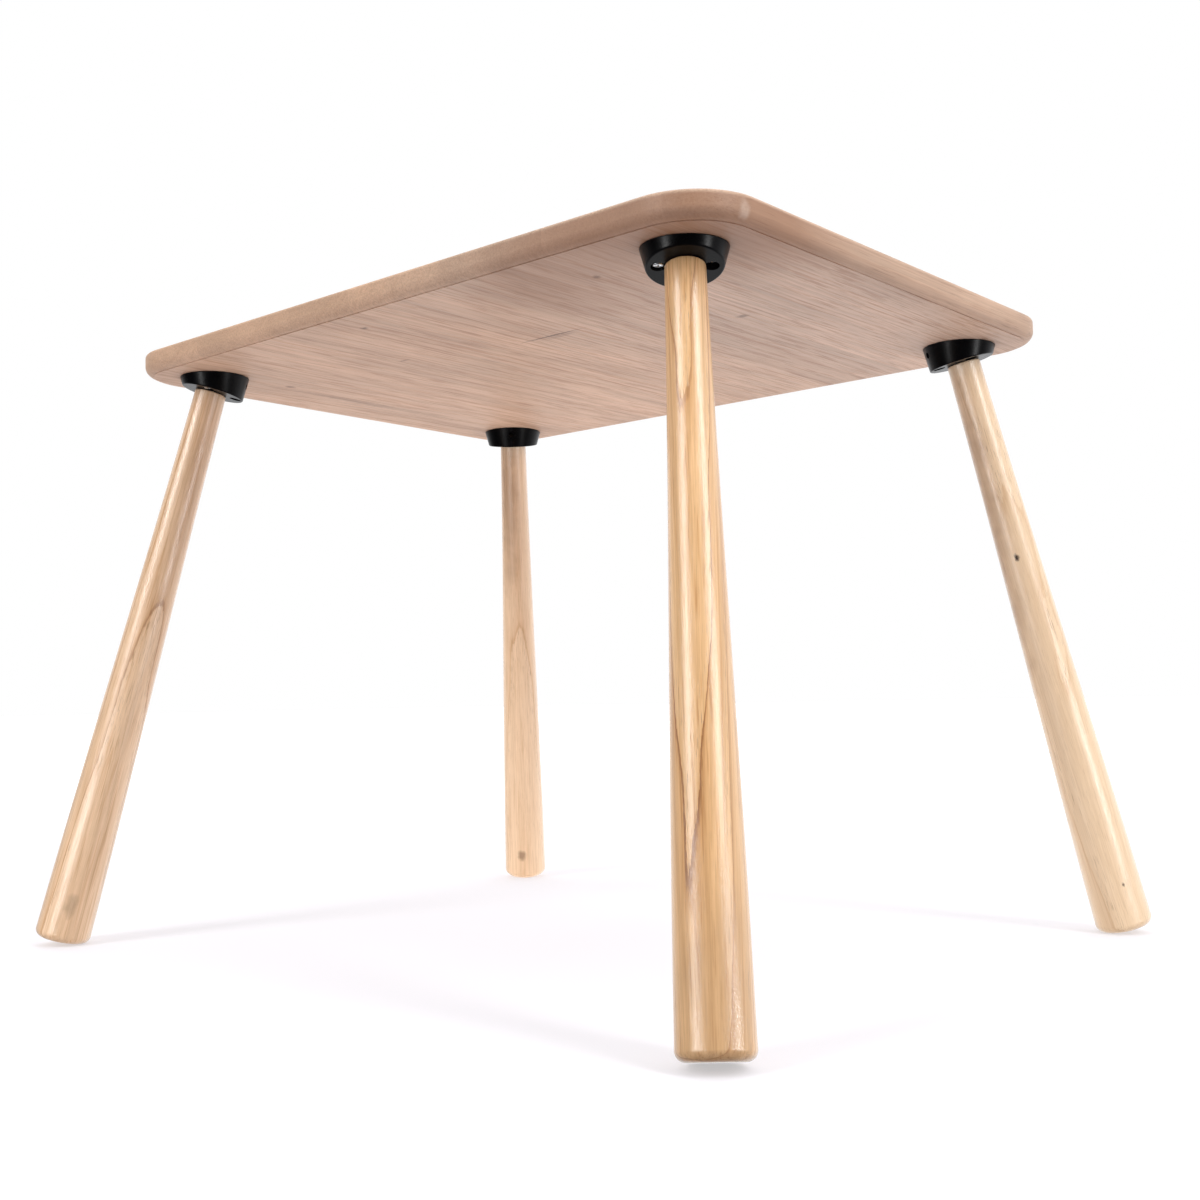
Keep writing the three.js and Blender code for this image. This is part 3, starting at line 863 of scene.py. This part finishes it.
# Each leg's tint is partly its own tone and partly painted light: front_right is darkened, and front_left,
# back_right and back_left are lightened and blued for how light and haze fall on them.
leg_cuts = {
    "front_right": {"pith": (0.0345, 0.0152), "tilt": (-0.8, 2.6), "ring_width": 0.0062, "paleness": 0.0,
                    "tint": (0.97, 0.89, 0.76)},
    "front_left": {"pith": (-0.0172, -0.0344), "tilt": (-0.3, 0.0), "ring_width": 0.0085, "paleness": 0.2,
                   "tint": (1.04, 1.05, 1.14)},
    "back_right": {"pith": (0.003, 0.040), "tilt": (-2.7, 0.0), "ring_width": 0.0130, "paleness": 0.65,
                   "tint": (1.12, 1.20, 1.32)},
    "back_left": {"pith": (-0.045, 0.004), "tilt": (0.3, 0.5), "ring_width": 0.0095, "paleness": 0.5,
                  "tint": (1.14, 1.17, 1.28)},
}
KNOT = (0.05, 0.022, 0.010)
SOFT_KNOT = (0.16, 0.07, 0.03)
# Brown used for painted shade on the legs.
PAINTED_SHADE_BROWN = (0.36, 0.20, 0.10)
# The long brown marks are painted shade: on front_right near the foot, down one side of back_right, and near
# the top of back_left. The small dark marks are knots.
leg_marks = {
    "front_right": ((0.45, 180.0, 0.024, 0.10, 0.35, PAINTED_SHADE_BROWN),),
    "front_left": ((0.436, 80.0, 0.006, 0.010, 0.3, KNOT),),
    "back_right": ((0.170, -59.0, 0.0023, 0.0036, 1.0, KNOT), (0.430, -86.0, 0.0014, 0.0023, 0.8, KNOT),
                   (0.13, 10.0, 0.016, 0.17, 0.6, PAINTED_SHADE_BROWN)),
    "back_left": ((0.440, 6.0, 0.0055, 0.0070, 0.6, SOFT_KNOT), (0.07, 25.0, 0.013, 0.10, 0.45, PAINTED_SHADE_BROWN)),
}
for corner in CORNERS:
    wood = leg_wood(f"leg_wood_{corner}", corner, marks=leg_marks[corner], **leg_cuts[corner])
    finish_piece(f"turned_leg_{corner}", turned_leg(), leg_frame(corner), wood, f"leg_{corner}",
                 f"leg_{corner}")

# %% [markdown]
# ## The studio
# The table stands in front of a white backdrop on a pale grey floor that glows: white to the camera, and
# painted bounce light for other rays, brighter behind the table. Two tall soft boxes stand to the left
# and right of the camera: they give the two bright lines on the near leg. Two small cards near the
# floor show as highlights on the plates, and don't light the wood. The world is white to the camera. For
# light and reflections it is bright behind the table and dim behind the camera, as a real studio is.

# %% Floor
FLOOR_HALF = 40.0
FLOOR_GLOW = 0.50
FLOOR_BOUNCE = (0.0, 1.0)


def make_floor():
    shape = bmesh.new()
    bmesh.ops.create_grid(shape, x_segments=1, y_segments=1, size=FLOOR_HALF)
    mesh = bpy.data.meshes.new("floor")
    shape.to_mesh(mesh)
    shape.free()
    material, tree, shader = start_material("floor_paper")
    fleck = noise(tree, piece_place(tree, Matrix.Identity(4)), 700.0)["Fac"]
    colour = blend_colour(tree, fleck, (0.40, 0.39, 0.42, 1.0), (0.44, 0.43, 0.46, 1.0))
    fill(tree, shader, {"Base Color": colour, "Roughness": 0.9, "Specular IOR Level": 0.1})
    behind = (-math.sin(CAMERA_HEADING), math.cos(CAMERA_HEADING), 0.0)
    local = piece_place(tree, Matrix.Identity(4))
    back = add(tree, "VectorMath", {0: local, 1: behind}, operation="DOT_PRODUCT").outputs["Value"]
    # Painted bounce light: to other rays the floor glows, brighter behind the table.
    bounce = remap(tree, back, -0.45, 0.45, *FLOOR_BOUNCE)
    away = add(tree, "VectorMath", {0: local}, operation="LENGTH").outputs["Value"]
    whitening = remap(tree, away, 0.8, 3.0, FLOOR_GLOW, 1.0)
    seen = add(tree, "LightPath").outputs["Is Camera Ray"]
    glow = add(tree, "Mix", {0: seen, 2: bounce, 3: whitening}, data_type="FLOAT").outputs[0]
    fill(tree, shader, {"Emission Color": (1.0, 0.99, 1.0, 1.0), "Emission Strength": glow})
    mesh.materials.append(material)
    floor = bpy.data.objects.new("floor", mesh)
    bpy.context.scene.collection.objects.link(floor)
    return floor


floor = make_floor()
floor.visible_glossy = False

# %% Soft boxes


def soft_box(name, turn, distance, centre_height, width, height, brightness):
    """A tall area light that faces the table. Turn is its direction from the table, measured from -Y."""
    data = bpy.data.lights.new(name, "AREA")
    data.shape = "RECTANGLE"
    data.size = width
    data.size_y = height
    data.energy = brightness * math.pi * width * height
    light = bpy.data.objects.new(name, data)
    angle = math.radians(turn)
    stand = Vector((math.sin(angle), -math.cos(angle), 0.0)) * distance
    stand.z = centre_height
    target = Vector((0.0, 0.0, UNDERSIDE * 0.6))
    facing = (target - stand).to_track_quat("-Z", "Y").to_matrix().to_4x4()
    light.matrix_world = Matrix.Translation(stand) @ facing
    bpy.context.scene.collection.objects.link(light)
    return light


soft_box("left_soft_box", -10.6, 2.8, 1.85, 0.85, 2.1, 11.0)
soft_box("right_soft_box", 86.0, 2.4, 1.65, 0.6, 1.9, 13.5)
left_card = soft_box("left_low_card", -2.0, 1.66, 0.16, 0.26, 0.2, 34.0)
right_card = soft_box("right_low_card", 93.0, 1.75, 0.16, 0.26, 0.2, 34.0)
for card in (left_card, right_card):
    card.visible_diffuse = False
sun_data = bpy.data.lights.new("overhead_light", "SUN")
sun_data.energy = 1.3
sun_data.angle = math.radians(70.0)
sun = bpy.data.objects.new("overhead_light", sun_data)
sun.location = (0.0, 0.0, 3.0)
bpy.context.scene.collection.objects.link(sun)

# %% World


def studio_world():
    world = bpy.data.worlds.new("studio")
    bpy.context.scene.world = world
    world.use_nodes = True
    tree = world.node_tree
    tree.nodes.clear()
    direction = add(tree, "TexCoord").outputs["Generated"]
    behind = (-0.342, 0.940, 0.25)
    facing = add(tree, "VectorMath", {0: direction, 1: behind}, operation="DOT_PRODUCT").outputs["Value"]
    glow = remap(tree, facing, -0.2, 0.8, 0.03, 1.2)
    lit = add(tree, "Background", {"Color": (0.97, 0.98, 1.0, 1.0), "Strength": glow}).outputs[0]
    seen = add(tree, "Background", {"Color": (1.0, 1.0, 1.0, 1.0), "Strength": 1.0}).outputs[0]
    to_camera = add(tree, "LightPath").outputs["Is Camera Ray"]
    mixed = add(tree, "MixShader", {0: to_camera, 1: lit, 2: seen}).outputs[0]
    add(tree, "OutputWorld", {"Surface": mixed})


studio_world()
bpy.context.scene.view_settings.view_transform = "Standard"
print("studio ready")
